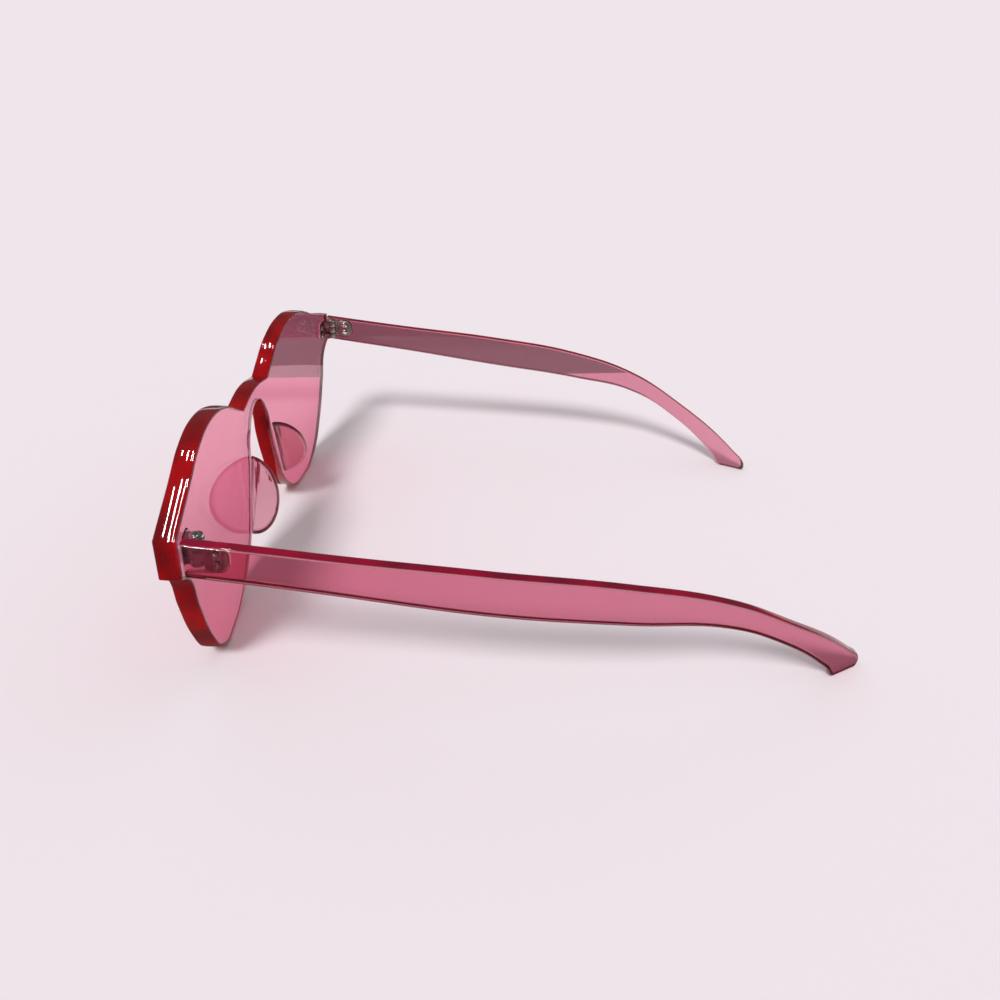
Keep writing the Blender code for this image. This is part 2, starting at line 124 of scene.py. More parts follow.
# What the materials' patterns measure, in millimetres. Real pits and tool marks are finer: these are as
# coarse as they need to be to show.
FLOW_WAVE, FLOW_DEPTH = 9.0, 0.05
HAZE_PATCH = 2.5
DULL_PATCH = 0.9
TUMBLED_PIT, PIT_DEPTH = 0.22, 0.02
TOOL_MARK, TOOL_MARK_DEPTH = 0.15, 0.01
CARD_FIBRE, FIBRE_DEPTH = 1.2, 0.05

POLYCARBONATE_IOR = 1.585

# In metres
TABLE_RADIUS = 6.0
NEAREST_SEEN = 0.01

# In millimetres
SENSOR_WIDTH = 36.0


def linear(hex_colour):
    """The linear colour of an sRGB hex value such as "#EFE6EB"."""
    shares = [int(hex_colour[place : place + 2], 16) / 255 for place in (1, 3, 5)]
    return tuple(s / 12.92 if s <= 0.04045 else ((s + 0.055) / 1.055) ** 2.4 for s in shares)


def length(name, description, millimetres):
    """A length, stored in metres."""
    return bpy.props.FloatProperty(
        name=name, description=description, default=millimetres * MM, unit="LENGTH", precision=5
    )


def colour(name, description, hex_colour):
    return bpy.props.FloatVectorProperty(
        name=name, description=description, default=linear(hex_colour), subtype="COLOR", min=0, max=1
    )


def number(name, description, default):
    return bpy.props.FloatProperty(name=name, description=description, default=default, precision=3)


def angle(name, description, degrees):
    return bpy.props.FloatProperty(
        name=name, description=description, default=math.radians(degrees), subtype="ANGLE"
    )


class FrontSizes(bpy.types.PropertyGroup):
    thickness: length("Thickness", "Thickness of the moulded plate", 4.3)
    edge: length("Edge round", "Radius of the plate's rounded edges", 0.35)
    crown: length("Edge crown", "How far the middle of the plate's edge swells out", 0.08)
    wrap: length("Wrap radius", "Radius that the plate is bent to", 515)
    lens_width: length("Lens width", "Width of one lens", 54)
    lens_height: length("Lens height", "Height of one lens", 53.2)
    lens_spacing: length("Lens spacing", "Distance between the lens centres", 74)
    bridge_top: length("Bridge top", "Height of the bridge's top above the table", 45.7)
    bridge_depth: length("Bridge depth", "Height of the bridge from its top to its underside", 4.1)
    notch_spacing: length("Notch spacing", "Distance between the notches beside the bridge", 22.4)
    notch_height: length("Notch height", "Height of those notches above the table", 44.2)
    end_height: length("End piece height", "Height of the end pieces that carry the hinges", 8.4)
    standing: length("Standing length", "Length of the flat that each lens stands on", 6)


class TempleSizes(bpy.types.PropertyGroup):
    thickness: length("Thickness", "Thickness at the hinge", 2.6)
    tip_thickness: length("Tip thickness", "Thickness at the tip", 2.2)
    edge: length("Edge round", "Radius of the rounded edges", 0.4)
    crown: length("Edge crown", "How far the middle of the temple's edge swells out", 0.05)
    flare: length("Flare", "How strongly the temple bows outwards", 22)
    tip_inset: length("Tip inset", "How far the tip comes in to the head", 18.5)
    hinge_end: length("Hinge end height", "Height of the temple at the hinge", 7.4)
    tip_top: length("Tip top", "Height of the tip's upper corner", 6.3)
    tip_top_length: length("Tip top length", "How far that corner lies from the end", 3.9)
    tip_nose: length("Tip nose", "Height of the very end", 1.7)
    tip_rounding: length("Tip rounding", "How far the flat under the tip starts from the end", 0.9)
    tip_flat: length("Tip flat", "Length of the flat under the tip", 6.6)
    tip_heel: length("Tip heel", "Height of the underside where it turns to that flat", 3.6)
    tip_heel_length: length("Tip heel length", "How far the heel lies from the end", 10.6)


class PadSizes(bpy.types.PropertyGroup):
    height: length("Height", "Length of the pad along the nasal edge", 18.4)
    depth: length("Depth", "How far the pad stands off the plate", 7.2)
    thickness: length("Thickness", "Thickness of the pad", 1.9)
    edge: length("Edge round", "Radius of the pad's rounded edges", 0.6)
    centre: length("Centre", "Height of the pad's middle above the table", 21.8)
    seat: length("Glue line", "Gap between the pad and the plate", 0.3)
    splay: number("Splay", "How far the pad leans outwards for each millimetre of depth", 0.4)


class HingeSizes(bpy.types.PropertyGroup):
    knuckle: length("Knuckle radius", "Radius of the rolled knuckles", 1.4)
    stack: length("Stack", "Height of the three knuckles together", 5.3)
    middle: length("Middle knuckle", "Height of the temple's knuckle", 1.7)
    front_length: length("Front leaf length", "Length of a front leaf from the pivot", 4.4)
    front_offset: length("Front leaf offset", "How far its face lies from the pivot", 2.3)
    temple_length: length("Temple leaf length", "Length of a temple leaf from the pivot", 6.3)
    temple_offset: length("Temple leaf offset", "How far its face lies from the pivot", 1.2)
    leaf_thickness: length("Leaf thickness", "Thickness of a leaf", 1)
    leaf_corner: length("Leaf corner", "Radius of a leaf's corners", 1.9)
    leaf_edge: length("Leaf edge", "Width that tumbling has rounded the leaf's edges to", 0.12)
    web_step: length("Web step", "How far the web behind a knuckle steps in", 0.15)
    web_lap: length("Web lap", "How far that web runs into the leaf", 0.3)
    seat: length("Seat gap", "Gap round a leaf in its pocket", 0.3)
    knuckle_gap: length("Knuckle gap", "Gap between two knuckles", 0.2)
    screw_gap: length("Screw gap", "Gap round a screw in its hole", 0.12)


class ScrewSizes(bpy.types.PropertyGroup):
    pivot: length("Pivot radius", "Radius of the pivot screw", 0.6)
    pivot_head: length("Pivot head radius", "Radius of the pivot screw's head", 1.25)
    pivot_head_height: length("Pivot head height", "Height of that head", 0.8)
    fixing: length("Fixing radius", "Radius of the screws that hold the leaves", 0.5)
    fixing_head: length("Fixing head radius", "Radius of their heads", 0.85)
    fixing_head_height: length("Fixing head height", "Height of their heads", 0.4)
    grip: length("Grip", "How deep they go into the plastic", 1.1)
    spacing: length("Spacing", "Distance between the two screws of a leaf", 2.4)
    slot: length("Slot width", "Width of the driver's slot", 0.25)
    thread: length("Thread depth", "Depth of the thread", 0.07)
    pitch: length("Thread pitch", "Distance from one thread to the next", 0.35)


class Finishes(bpy.types.PropertyGroup):
    front: colour("Front tint", "What is left of white light deep in the front", "#F92CA5")
    front_density: number("Front density", "How fast the front takes up light, per metre", 270)
    # The edge tints are a painted glow: colour that stands in for the light the plastic carries inside and
    # lets out at its edges. The deep one is the painted glow where less of it leaves, and the clearness lets
    # it show.
    front_painted_glow: colour("Front edge tint", "Colour of the light that leaves at its edges", "#C40812")
    front_painted_glow_deep: colour("Front edge tint, deep", "Colour where less light leaves", "#8A0A16")
    front_edge_clearness: number("Front edge clearness", "How much of an edge is clear", 0.5)
    front_roughness: number("Front roughness", "How dull the front's gloss is", 0.03)
    temple: colour("Temple tint", "What is left of white light deep in a temple", "#E6248B")
    temple_density: number("Temple density", "How fast a temple takes up light, per metre", 550)
    # Painted glow at the temples' edges, as at the front's.
    temple_painted_glow: colour("Temple edge tint", "Colour of the light that leaves at its edges", "#C00C40")
    temple_painted_glow_deep: colour("Temple edge tint, deep", "Colour where less light leaves", "#901038")
    temple_edge_clearness: number("Temple edge clearness", "How much of an edge is clear", 0.5)
    temple_roughness: number("Temple roughness", "How dull a temple's gloss is", 0.04)
    pad: colour("Pad tint", "What is left of white light deep in a nose pad", "#DD6A92")
    pad_density: number("Pad density", "How fast a nose pad takes up light, per metre", 560)
    # Painted glow at the pads' edges, as at the front's.
    pad_painted_glow: colour("Pad edge tint", "Colour of the light that leaves at its edges", "#C04A68")
    pad_painted_glow_deep: colour("Pad edge tint, deep", "Colour where less light leaves", "#A02C48")
    pad_edge_clearness: number("Pad edge clearness", "How much of an edge is clear", 0.6)
    pad_roughness: number("Pad roughness", "How dull a nose pad's gloss is", 0.05)
    leaf: colour("Leaf metal", "The nickel silver of the hinge leaves", "#A99D92")
    leaf_worn: colour("Leaf metal, dull", "Where tumbling left it dull", "#8C837A")
    screw: colour("Screw metal", "The steel of the screws", "#C9C6C3")


class Studio(bpy.types.PropertyGroup):
    backdrop: colour("Backdrop", "Colour of the lit table and of the backdrop behind it", "#EFE6EB")
    fill: number("Fill", "Brightness of the light from all round", 0.5)
    surround: number("Surround", "Brightness of the room that glossy things mirror", 0.1)
    depths: number("Surround through plastic", "Brightness of the room seen through clear plastic", 0.8)
    key_strength: number("Key strength", "Brightness of the soft main light", 2.13)
    key_softness: angle("Key softness", "How wide the main light looks from the table", 14)
    key_azimuth: angle("Key azimuth", "Where the main light stands, from where the wearer looks", 72)
    key_elevation: angle("Key elevation", "How high the main light stands", 47.5)
    overhead_azimuth: angle("Overhead azimuth", "Where the long light stands, counted the same way", 64)
    overhead_elevation: angle("Overhead elevation", "How high its middle stands", 43.5)
    overhead_strength: number("Overhead strength", "Power of the long light", 7.6)
    overhead_width: angle("Overhead width", "How wide the long light looks from the table", 3)
    overhead_length: angle("Overhead length", "How long the long light looks from the table", 60)
    strip_azimuth: angle("Strip azimuth", "Where the narrow lights stand, counted the same way", -43)
    strip_elevation: angle("Strip elevation", "How high the first three narrow lights stand", 60)
    high_strip_elevation: angle("High strip elevation", "How high the other three stand", 67.5)
    strip_strength: number("Strip strength", "Power of each narrow light that draws the glints", 0.3)
    strip_width: angle("Strip width", "How wide a narrow light looks from the table", 0.6)
    strip_length: angle("Strip length", "How long a narrow light looks from the table", 5.5)
    strip_spacing: angle("Strip spacing", "Angle between two narrow lights", 5)
    # The cards' greys are painted shade: the cards give them out as a glow, whatever the lamps do.
    card: colour("Standing card", "Colour of the card that stands on the wearer's right", "#949494")
    card_before: colour("Lying cards", "Colour of the dark cards that the near edges mirror", "#505050")
    card_right: length("Card right", "How far to the wearer's right the standing card stands", 132)
    card_forward: length("Card forward", "How far forwards its middle is", 25)
    card_turn: angle("Card turn", "How far the standing card turns from the wearer's view", 8.5)
    card_height: length("Card height", "Height of the standing card", 35)
    card_width: length("Card width", "Width of the standing card", 190)
    lying_size: length("Lying card size", "Size of the lying cards", 1000)
    card_side: length("Side card", "How far to the wearer's left one lying card starts", 45)
    card_front: length("Front card", "How far forwards the other lying card starts", 77)
    table_gap: length("Table gap", "Gap between the table and the pieces that stand on it", 0.03)
    camera_azimuth: angle("Camera azimuth", "Where the camera stands, round the sunglasses", 83.717)
    camera_elevation: angle("Camera elevation", "How far down the camera looks", 25.911)
    camera_roll: angle("Camera roll", "How far the camera leans", 4.501)
    camera_place: bpy.props.FloatVectorProperty(
        name="Camera place",
        description="Where the camera's lens is, in metres",
        default=(0.19418, -0.01337, 0.12688),
        subtype="TRANSLATION",
    )
    camera_lens: number("Camera lens", "Focal length, in millimetres on a 36 mm wide sensor", 28.607)
    camera_shift: bpy.props.FloatVectorProperty(
        name="Camera shift",
        description="How far the picture's middle lies off the lens axis",
        default=(-0.0659, -0.0552),
        size=2,
    )


class SunglassesSettings(bpy.types.PropertyGroup):
    front: bpy.props.PointerProperty(type=FrontSizes, name="Front", description="Sizes of the front")
    temple: bpy.props.PointerProperty(type=TempleSizes, name="Temples", description="Sizes of the temples")
    pad: bpy.props.PointerProperty(type=PadSizes, name="Nose pads", description="Sizes of the nose pads")
    hinge: bpy.props.PointerProperty(type=HingeSizes, name="Hinges", description="Sizes of the hinges")
    screw: bpy.props.PointerProperty(type=ScrewSizes, name="Screws", description="Sizes of the screws")
    finish: bpy.props.PointerProperty(type=Finishes, name="Finishes", description="Colours of the pieces")
    studio: bpy.props.PointerProperty(type=Studio, name="Studio", description="Floor, light and camera")


def in_millimetres(group):
    """The group's values, with its lengths in millimetres."""
    values = {}
    for name in group.__annotations__:
        is_length = group.bl_rna.properties[name].unit == "LENGTH"
        values[name] = getattr(group, name) / MM if is_length else getattr(group, name)
    return SimpleNamespace(**values)


def box_in_millimetres(node):
    low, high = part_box(node)
    return low / MM, high / MM


# Where the built sunglasses stand, in millimetres.
PLATE_LOW, PLATE_HIGH = box_in_millimetres("front_plate")
TEMPLE_LOW, TEMPLE_HIGH = box_in_millimetres("temple_left")
FRONT_WIDTH = PLATE_HIGH.x - PLATE_LOW.x
PIVOT = Vector(next(j["pos_m"] for j in frame["joints"] if j["name"] == "left_temple_fold")) / MM


def plate_back(x, front):
    """The depth of the plate's back face at this distance from the middle."""
    return PLATE_LOW.y + front.thickness + x * x / (2 * front.wrap)


def add_node(tree, kind, inputs=None, **settings):
    """Adds a node with its settings and its inputs."""
    node = tree.nodes.new(kind)
    for name, value in settings.items():
        setattr(node, name, value)
    set_inputs(tree, node, inputs or {})
    return node


def set_inputs(tree, node, inputs):
    """Gives a node's inputs their values. A number or a colour is set, and another socket is linked."""
    for name, value in inputs.items():
        if isinstance(value, bpy.types.NodeSocket):
            tree.links.new(value, node.inputs[name])
        else:
            node.inputs[name].default_value = value


def new_material(name, viewport_colour):
    """A material with an empty node tree, its shader and its output."""
    material = bpy.data.materials.new(name)
    material.use_nodes = True
    material.diffuse_color = (*viewport_colour, 1.0)
    tree = material.node_tree
    tree.nodes.clear()
    shader = add_node(tree, "ShaderNodeBsdfPrincipled")
    output = add_node(tree, "ShaderNodeOutputMaterial", {"Surface": shader.outputs["BSDF"]})
    return material, tree, shader, output


def cells_per_metre(millimetres):
    """The scale of a pattern on Object coordinates whose features are this size."""
    return 1 / (millimetres * MM)


def moulded_polycarbonate(name, tint, density, edge_glow_colours, edge_clearness, roughness):
    """Injection-moulded tinted polycarbonate. It is clear right through and its colour deepens with the way
    that the light takes inside it, so its flat faces look pale. Light that is caught between them and leaves
    at the trimmed and tumbled edges is painted there: the edges are less clear and take a deep red painted
    glow as their colour, lighter or deeper in long waves. The mould was polished, and handling has left the
    gloss very slightly uneven."""
    material, tree, shader, output = new_material(name, tint)
    place = add_node(tree, "ShaderNodeTexCoord").outputs["Object"]

    # The melt set in long low waves. They bend the light a little, and the painted glow at the edges is
    # lighter or deeper with them.
    flow = add_node(
        tree, "ShaderNodeTexNoise", {"Vector": place, "Scale": cells_per_metre(FLOW_WAVE), "Detail": 1.0}
    )
    # The edges' colour is a painted glow, lighter or deeper with the waves, that stands in for light let out
    # there.
    light, deep = ((*edge_glow_colour, 1.0) for edge_glow_colour in edge_glow_colours)
    caught = add_node(
        tree, "ShaderNodeMapRange", {"Value": flow.outputs["Fac"], "From Min": 0.35, "From Max": 0.65}
    )
    painted_edge_glow = add_node(
        tree, "ShaderNodeMix", {"Factor": caught.outputs["Result"], "A": deep, "B": light}, data_type="RGBA"
    )

    # The flat faces stay white and clear, so that only the way inside colours them.
    edge_share = add_node(tree, "ShaderNodeAttribute", attribute_name=EDGE_SHARE).outputs["Fac"]
    shade = add_node(
        tree,
        "ShaderNodeMix",
        {"Factor": edge_share, "A": (1.0, 1.0, 1.0, 1.0), "B": painted_edge_glow.outputs["Result"]},
        data_type="RGBA",
    )
    # The edges are less clear, so that their painted glow shows.
    clearness = add_node(
        tree, "ShaderNodeMapRange", {"Value": edge_share, "To Min": 1.0, "To Max": edge_clearness}
    )
    haze = add_node(
        tree, "ShaderNodeTexNoise", {"Vector": place, "Scale": cells_per_metre(HAZE_PATCH), "Detail": 4.0}
    )
    gloss = add_node(
        tree,
        "ShaderNodeMapRange",
        {"Value": haze.outputs["Fac"], "To Min": 0.6 * roughness, "To Max": 1.4 * roughness},
    )
    relief = add_node(
        tree,
        "ShaderNodeBump",
        {"Height": flow.outputs["Fac"], "Strength": 0.25, "Distance": FLOW_DEPTH * MM},
    )
    set_inputs(
        tree,
        shader,
        {
            "Base Color": shade.outputs["Result"],
            "Transmission Weight": clearness.outputs["Result"],
            "IOR": POLYCARBONATE_IOR,
            "Roughness": gloss.outputs["Result"],
            "Normal": relief.outputs["Normal"],
        },
    )
    inside = add_node(tree, "ShaderNodeVolumeAbsorption", {"Color": (*tint, 1.0), "Density": density})
    tree.links.new(inside.outputs["Volume"], output.inputs["Volume"])
    return material


def tumbled_nickel_silver(name, bright, dull):
    """Nickel silver, stamped and tumbled with stone chips: a warm grey metal, satin all over, with faint
    dull patches and fine pits."""
    material, tree, shader, _ = new_material(name, bright)
    place = add_node(tree, "ShaderNodeTexCoord").outputs["Object"]
    patches = add_node(
        tree, "ShaderNodeTexNoise", {"Vector": place, "Scale": cells_per_metre(DULL_PATCH), "Detail": 5.0}
    )
    pits = add_node(
        tree, "ShaderNodeTexVoronoi", {"Vector": place, "Scale": cells_per_metre(TUMBLED_PIT)}
    )
    shade = add_node(
        tree,
        "ShaderNodeMix",
        {"Factor": patches.outputs["Fac"], "A": (*bright, 1.0), "B": (*dull, 1.0)},
        data_type="RGBA",
    )
    gloss = add_node(
        tree, "ShaderNodeMapRange", {"Value": patches.outputs["Fac"], "To Min": 0.24, "To Max": 0.46}
    )
    relief = add_node(
        tree,
        "ShaderNodeBump",
        {"Height": pits.outputs["Distance"], "Strength": 0.3, "Distance": PIT_DEPTH * MM},
    )
    set_inputs(
        tree,
        shader,
        {
            "Base Color": shade.outputs["Result"],
            "Metallic": 1.0,
            "Roughness": gloss.outputs["Result"],
            "Normal": relief.outputs["Normal"],
        },
    )
    return material


def turned_steel(name, base):
    """Stainless steel, turned on a lathe and left bright, with fine tool marks."""
    material, tree, shader, _ = new_material(name, base)
    place = add_node(tree, "ShaderNodeTexCoord").outputs["Object"]
    marks = add_node(
        tree, "ShaderNodeTexNoise", {"Vector": place, "Scale": cells_per_metre(TOOL_MARK), "Detail": 3.0}
    )
    gloss = add_node(
        tree, "ShaderNodeMapRange", {"Value": marks.outputs["Fac"], "To Min": 0.12, "To Max": 0.32}
    )
    relief = add_node(
        tree,
        "ShaderNodeBump",
        {"Height": marks.outputs["Fac"], "Strength": 0.2, "Distance": TOOL_MARK_DEPTH * MM},
    )
    set_inputs(
        tree,
        shader,
        {
            "Base Color": (*base, 1.0),
            "Metallic": 1.0,
            "Roughness": gloss.outputs["Result"],
            "Normal": relief.outputs["Normal"],
        },
    )
    return material


def table_board(name, base):
    """Matt pale card, as photographers lay under small goods: no gloss and a barely uneven white."""
    material, tree, shader, _ = new_material(name, base)
    place = add_node(tree, "ShaderNodeTexCoord").outputs["Object"]
    fibre = add_node(
        tree, "ShaderNodeTexNoise", {"Vector": place, "Scale": cells_per_metre(CARD_FIBRE), "Detail": 2.0}
    )
    relief = add_node(
        tree,
        "ShaderNodeBump",
        {"Height": fibre.outputs["Fac"], "Strength": 0.05, "Distance": FIBRE_DEPTH * MM},
    )
    set_inputs(
        tree,
        shader,
        {
            "Base Color": (*base, 1.0),
            "Roughness": 0.9,
            "Specular IOR Level": 0.0,
            "Normal": relief.outputs["Normal"],
        },
    )
    return material


def painted_shade_card(name, shade):
    """A card whose dark grey is painted shade: it glows at that grey, like dark paper in even light,
    whatever the lamps do.
    """
    material = bpy.data.materials.new(name)
    material.use_nodes = True
    tree = material.node_tree
    tree.nodes.clear()
    glow = add_node(tree, "ShaderNodeEmission", {"Color": (*shade, 1.0)})
    add_node(tree, "ShaderNodeOutputMaterial", {"Surface": glow.outputs["Emission"]})
    return material


def material_once(name, make, *values):
    """The material of this name, made the first time that it is asked for."""
    return bpy.data.materials.get(name) or make(name, *values)


def shape_object(name, bm):
    mesh = bpy.data.meshes.new(name)
    bm.to_mesh(mesh)
    bm.free()
    shape = bpy.data.objects.new(name, mesh)
    bpy.context.scene.collection.objects.link(shape)
    return shape


def evaluated_shape(shape):
    """The shape as its modifiers leave it. The object is removed."""
    graph = bpy.context.evaluated_depsgraph_get()
    mesh = bpy.data.meshes.new_from_object(shape.evaluated_get(graph))
    bm = bmesh.new()
    bm.from_mesh(mesh)
    bpy.data.meshes.remove(mesh)
    source = shape.data
    bpy.data.objects.remove(shape)
    if isinstance(source, bpy.types.Mesh):
        bpy.data.meshes.remove(source)
    else:
        bpy.data.curves.remove(source)
    return bm


def combined(bm, others, operation):
    """The shape with others joined to it or cut out of it."""
    shape = shape_object("shape", bm)
    tools = [shape_object("tool", other) for other in others]
    for tool in tools:
        modifier = shape.modifiers.new("combine", "BOOLEAN")
        modifier.object = tool
        modifier.operation = operation
        modifier.solver = "EXACT"
    result = evaluated_shape(shape)
    for tool in tools:
        mesh = tool.data
        bpy.data.objects.remove(tool)
        bpy.data.meshes.remove(mesh)
    return result


def moved(bm, matrix):
    """The same shape, moved by the matrix, with its faces still out where the matrix mirrors it."""
    bmesh.ops.transform(bm, matrix=matrix, verts=bm.verts)
    if matrix.determinant() < 0:
        bmesh.ops.reverse_faces(bm, faces=bm.faces)
    return bm


def finished(bm, name, body, material, matrix=None):
    """Brings a shape to metres, as a piece that rides on its body and replaces the built one."""
    moved(bm, Matrix.Scale(MM, 4) @ (matrix or Matrix()))
    for face in bm.faces:
        face.smooth = True
    for edge in bm.edges:
        if len(edge.link_faces) == 2 and edge.calc_face_angle(0) > SHARP_ANGLE:
            edge.smooth = False
    piece = shape_object(f"{name}_dressed", bm)
    piece.data.materials.append(material)
    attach(piece, body)
    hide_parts(name)
    return piece


def outline_slab(points, thickness, edge, steps, crown=0.0):
    """A flat slab from closed Bezier points (u, v, kind), with its thickness along w. Its edges are
    rounded, and the wall between them swells out by the crown."""
    curve = bpy.data.curves.new("outline", "CURVE")
    curve.dimensions = "2D"
    curve.fill_mode = "BOTH"
    curve.resolution_u = steps
    curve.extrude = thickness / 2 - edge
    curve.bevel_depth = edge
    curve.bevel_resolution = EDGE_STEPS - 1
    curve.offset = -edge - crown
    spline = curve.splines.new("BEZIER")
    spline.bezier_points.add(len(points) - 1)
    spline.use_cyclic_u = True
    for index, (knot, (u, v, kind)) in enumerate(zip(spline.bezier_points, points)):
        knot.co = (u, v, 0)
        knot.handle_left_type = knot.handle_right_type = kind
        if kind == LEVEL:
            before, after = points[index - 1][0], points[(index + 1) % len(points)][0]
            knot.handle_left = (u + (before - u) / 3, v, 0)
            knot.handle_right = (u + (after - u) / 3, v, 0)
    guide = bpy.data.objects.new("outline", curve)
    bpy.context.scene.collection.objects.link(guide)
    bm = evaluated_shape(guide)
    bmesh.ops.remove_doubles(bm, verts=bm.verts, dist=OUTLINE_GAP)
    bmesh.ops.dissolve_limit(bm, angle_limit=STRAIGHT_ANGLE, verts=bm.verts, edges=bm.edges)
    bmesh.ops.recalc_face_normals(bm, faces=bm.faces)
    share = bm.verts.layers.float.new(EDGE_SHARE)
    for vertex in bm.verts:
        vertex[share] = min(1, (thickness / 2 - abs(vertex.co.z)) / (EDGE_ONSET * edge))
    # The rims of the flat faces look sharp, so that the faces themselves are shaded flat.
    for rim in bm.edges:
        rim.smooth = sum(abs(face.normal.z) > FLAT_NORMAL for face in rim.link_faces) != 1
    if crown:
        swell_wall(bm, thickness / 2 - edge, crown)
    return bm


def swell_wall(bm, wall, crown):
    """Crowns the upright wall of a flat slab, from w = -wall to w = wall, as a two-way mould does."""
    across = [e for e in bm.edges if abs(abs(e.verts[0].co.z - e.verts[1].co.z) - 2 * wall) < OUTLINE_GAP]
    cut = bmesh.ops.subdivide_edges(bm, edges=across, cuts=CROWN_STEPS - 1, use_grid_fill=True)
    bm.normal_update()
    for vertex in {part for part in cut["geom_inner"] if isinstance(part, bmesh.types.BMVert)}:
        outwards = sum((face.normal for face in vertex.link_faces), Vector()).normalized()
        vertex.co += crown * (1 - (vertex.co.z / wall) ** 2) * outwards


def sliced(bm, start, end, step):
    """Cuts the flat faces across at even steps of u, so that they can be bent."""
    count = max(2, round((end - start) / step))
    for cut in range(1, count):
        u = start + (end - start) * cut / count
        everything = bm.verts[:] + bm.edges[:] + bm.faces[:]
        bmesh.ops.bisect_plane(
            bm, geom=everything, plane_co=(u, 0, 0), plane_no=(1, 0, 0), dist=SHAPE_GAP
        )
    return bm


def lens_points(front, shares):
    """Outline points (x, height) on the left lens."""
    middle, half_width, half_height = front.lens_spacing / 2, front.lens_width / 2, front.lens_height / 2
    return [(middle + across * half_width, (1 + up) * half_height, SMOOTH) for across, up in shares]


def front_outline(front):
    """The whole front in (x, height), from the middle of the bridge's top round by the wearer's left."""
    half_end = front.end_height / 2
    standing_x = front.lens_spacing / 2 + STANDING_SHARE * front.lens_width / 2
    half = [
        (front.notch_spacing / 2, front.notch_height, CORNER),
        *lens_points(front, LENS_TOP_SHARES),
        (FRONT_WIDTH / 2, PIVOT.z + half_end, CORNER),
        (FRONT_WIDTH / 2, PIVOT.z - half_end, CORNER),
        *lens_points(front, LENS_OUTER_SHARES),
        (standing_x + front.standing / 2, 0, LEVEL),
        (standing_x - front.standing / 2, 0, LEVEL),
        *lens_points(front, LENS_NASAL_SHARES),
    ]
    other_half = [(-x, height, kind) for x, height, kind in reversed(half)]
    underside = (0, front.bridge_top - front.bridge_depth, SMOOTH)
    return [(0, front.bridge_top, SMOOTH), *half, underside, *other_half]


def block(low, high, corner=0.0):
    """A box between two corners. Its edges along Y at the high end of X can be rounded."""
    bm = bmesh.new()
    bmesh.ops.create_cube(bm, size=1.0)
    low, high = Vector(low), Vector(high)
    place = Matrix.Translation((low + high) / 2) @ Matrix.Diagonal((*(high - low), 1))
    bmesh.ops.transform(bm, matrix=place, verts=bm.verts)
    if corner:
        far_edges = [e for e in bm.edges if is_along_y(e) and e.verts[0].co.x > high.x - SHAPE_GAP]
        bevelled(bm, far_edges, corner, CORNER_STEPS)
    return bm


def bevelled(bm, edges, width, steps):
    """The shape with these edges rounded."""
    bmesh.ops.bevel(
        bm, geom=edges, offset=width, segments=steps, profile=0.5, affect="EDGES", material=-1
    )
    return bm


def is_along_y(edge):
    span = edge.verts[0].co - edge.verts[1].co
    return abs(span.x) < SHAPE_GAP and abs(span.z) < SHAPE_GAP


def rod(radius, low, high, sides=ROUND_SIDES):
    """A cylinder up the third axis."""
    bm = bmesh.new()
    bmesh.ops.create_cone(
        bm, cap_ends=True, segments=sides, radius1=radius, radius2=radius, depth=high - low
    )
    bmesh.ops.translate(bm, verts=bm.verts, vec=(0, 0, (low + high) / 2))
    return bm


def eased(bm, width):
    """The shape with all its sharp edges rounded by this width."""
    return bevelled(bm, [e for e in bm.edges if e.calc_face_angle(0) > SHARP_ANGLE], width, EASE_STEPS)


def mirrored(side):
    """Nothing for the left side, and a mirror across the middle for the right one."""
    return Matrix.Diagonal((side, 1, 1, 1))


def front_leaf_frame(front):
    """Where a front leaf sits. X runs along the leaf from the pivot, Y into what carries it, and Z up."""
    turn = Matrix.Rotation(math.pi + math.atan2(PIVOT.x, front.wrap), 4, "Z")
    return Matrix.Translation(PIVOT) @ turn


def temple_leaf_frame():
    """Where a temple leaf sits, with the same axes."""
    swapped = Matrix(((0, 1, 0, 0), (1, 0, 0, 0), (0, 0, 1, 0), (0, 0, 0, 1)))
    return Matrix.Translation(PIVOT) @ swapped


def out_of_carrier():
    """Turns Z to point out of what carries the leaf."""
    return Matrix.Rotation(math.radians(90), 4, "X")


def front_leaf(hinge):
    """The length and the offset of a front leaf."""
    return hinge.front_length, hinge.front_offset


def temple_leaf(hinge):
    """The length and the offset of a temple leaf."""
    return hinge.temple_length, hinge.temple_offset


def leaf_start(hinge):
    """How far from the pivot a leaf's slab starts."""
    return hinge.knuckle + 2 * hinge.knuckle_gap


def leaf_shape(hinge, leaf_kind, start, growth, surface):
    """A leaf's rounded slab, grown by a clearance all round, from its back out to the given surface."""
    leaf_length, offset = leaf_kind
    half = hinge.stack / 2 + growth
    low = (start, surface, -half)
    high = (leaf_length + growth, offset + hinge.leaf_thickness + growth, half)
    return block(low, high, hinge.leaf_corner + growth)


def fixing_reach(hinge, leaf_kind):
    """How far from the pivot a leaf's two screws stand."""
    leaf_length, _ = leaf_kind
    return (leaf_start(hinge) + leaf_length) / 2


def fixing_levels(screw):
    return (("upper", screw.spacing / 2), ("lower", -screw.spacing / 2))


def fixing_hole(hinge, leaf_kind, screw, height):
    """A blind hole through a leaf's slab and into its carrier."""
    _, offset = leaf_kind
    depth = offset + hinge.leaf_thickness + screw.grip + hinge.screw_gap
    place = Matrix.Translation((fixing_reach(hinge, leaf_kind), 0, height)) @ out_of_carrier()
    return moved(rod(screw.fixing + hinge.screw_gap, -depth, 0, SCREW_SIDES), place)


def pocket_tools(hinge, leaf_kind, screw, start, place):
    """What a leaf and its screws take out of their carrier."""
    shapes = [leaf_shape(hinge, leaf_kind, start, hinge.seat, 0.0)]
    shapes += [fixing_hole(hinge, leaf_kind, screw, height) for _, height in fixing_levels(screw)]
    return [moved(shape, place) for shape in shapes]


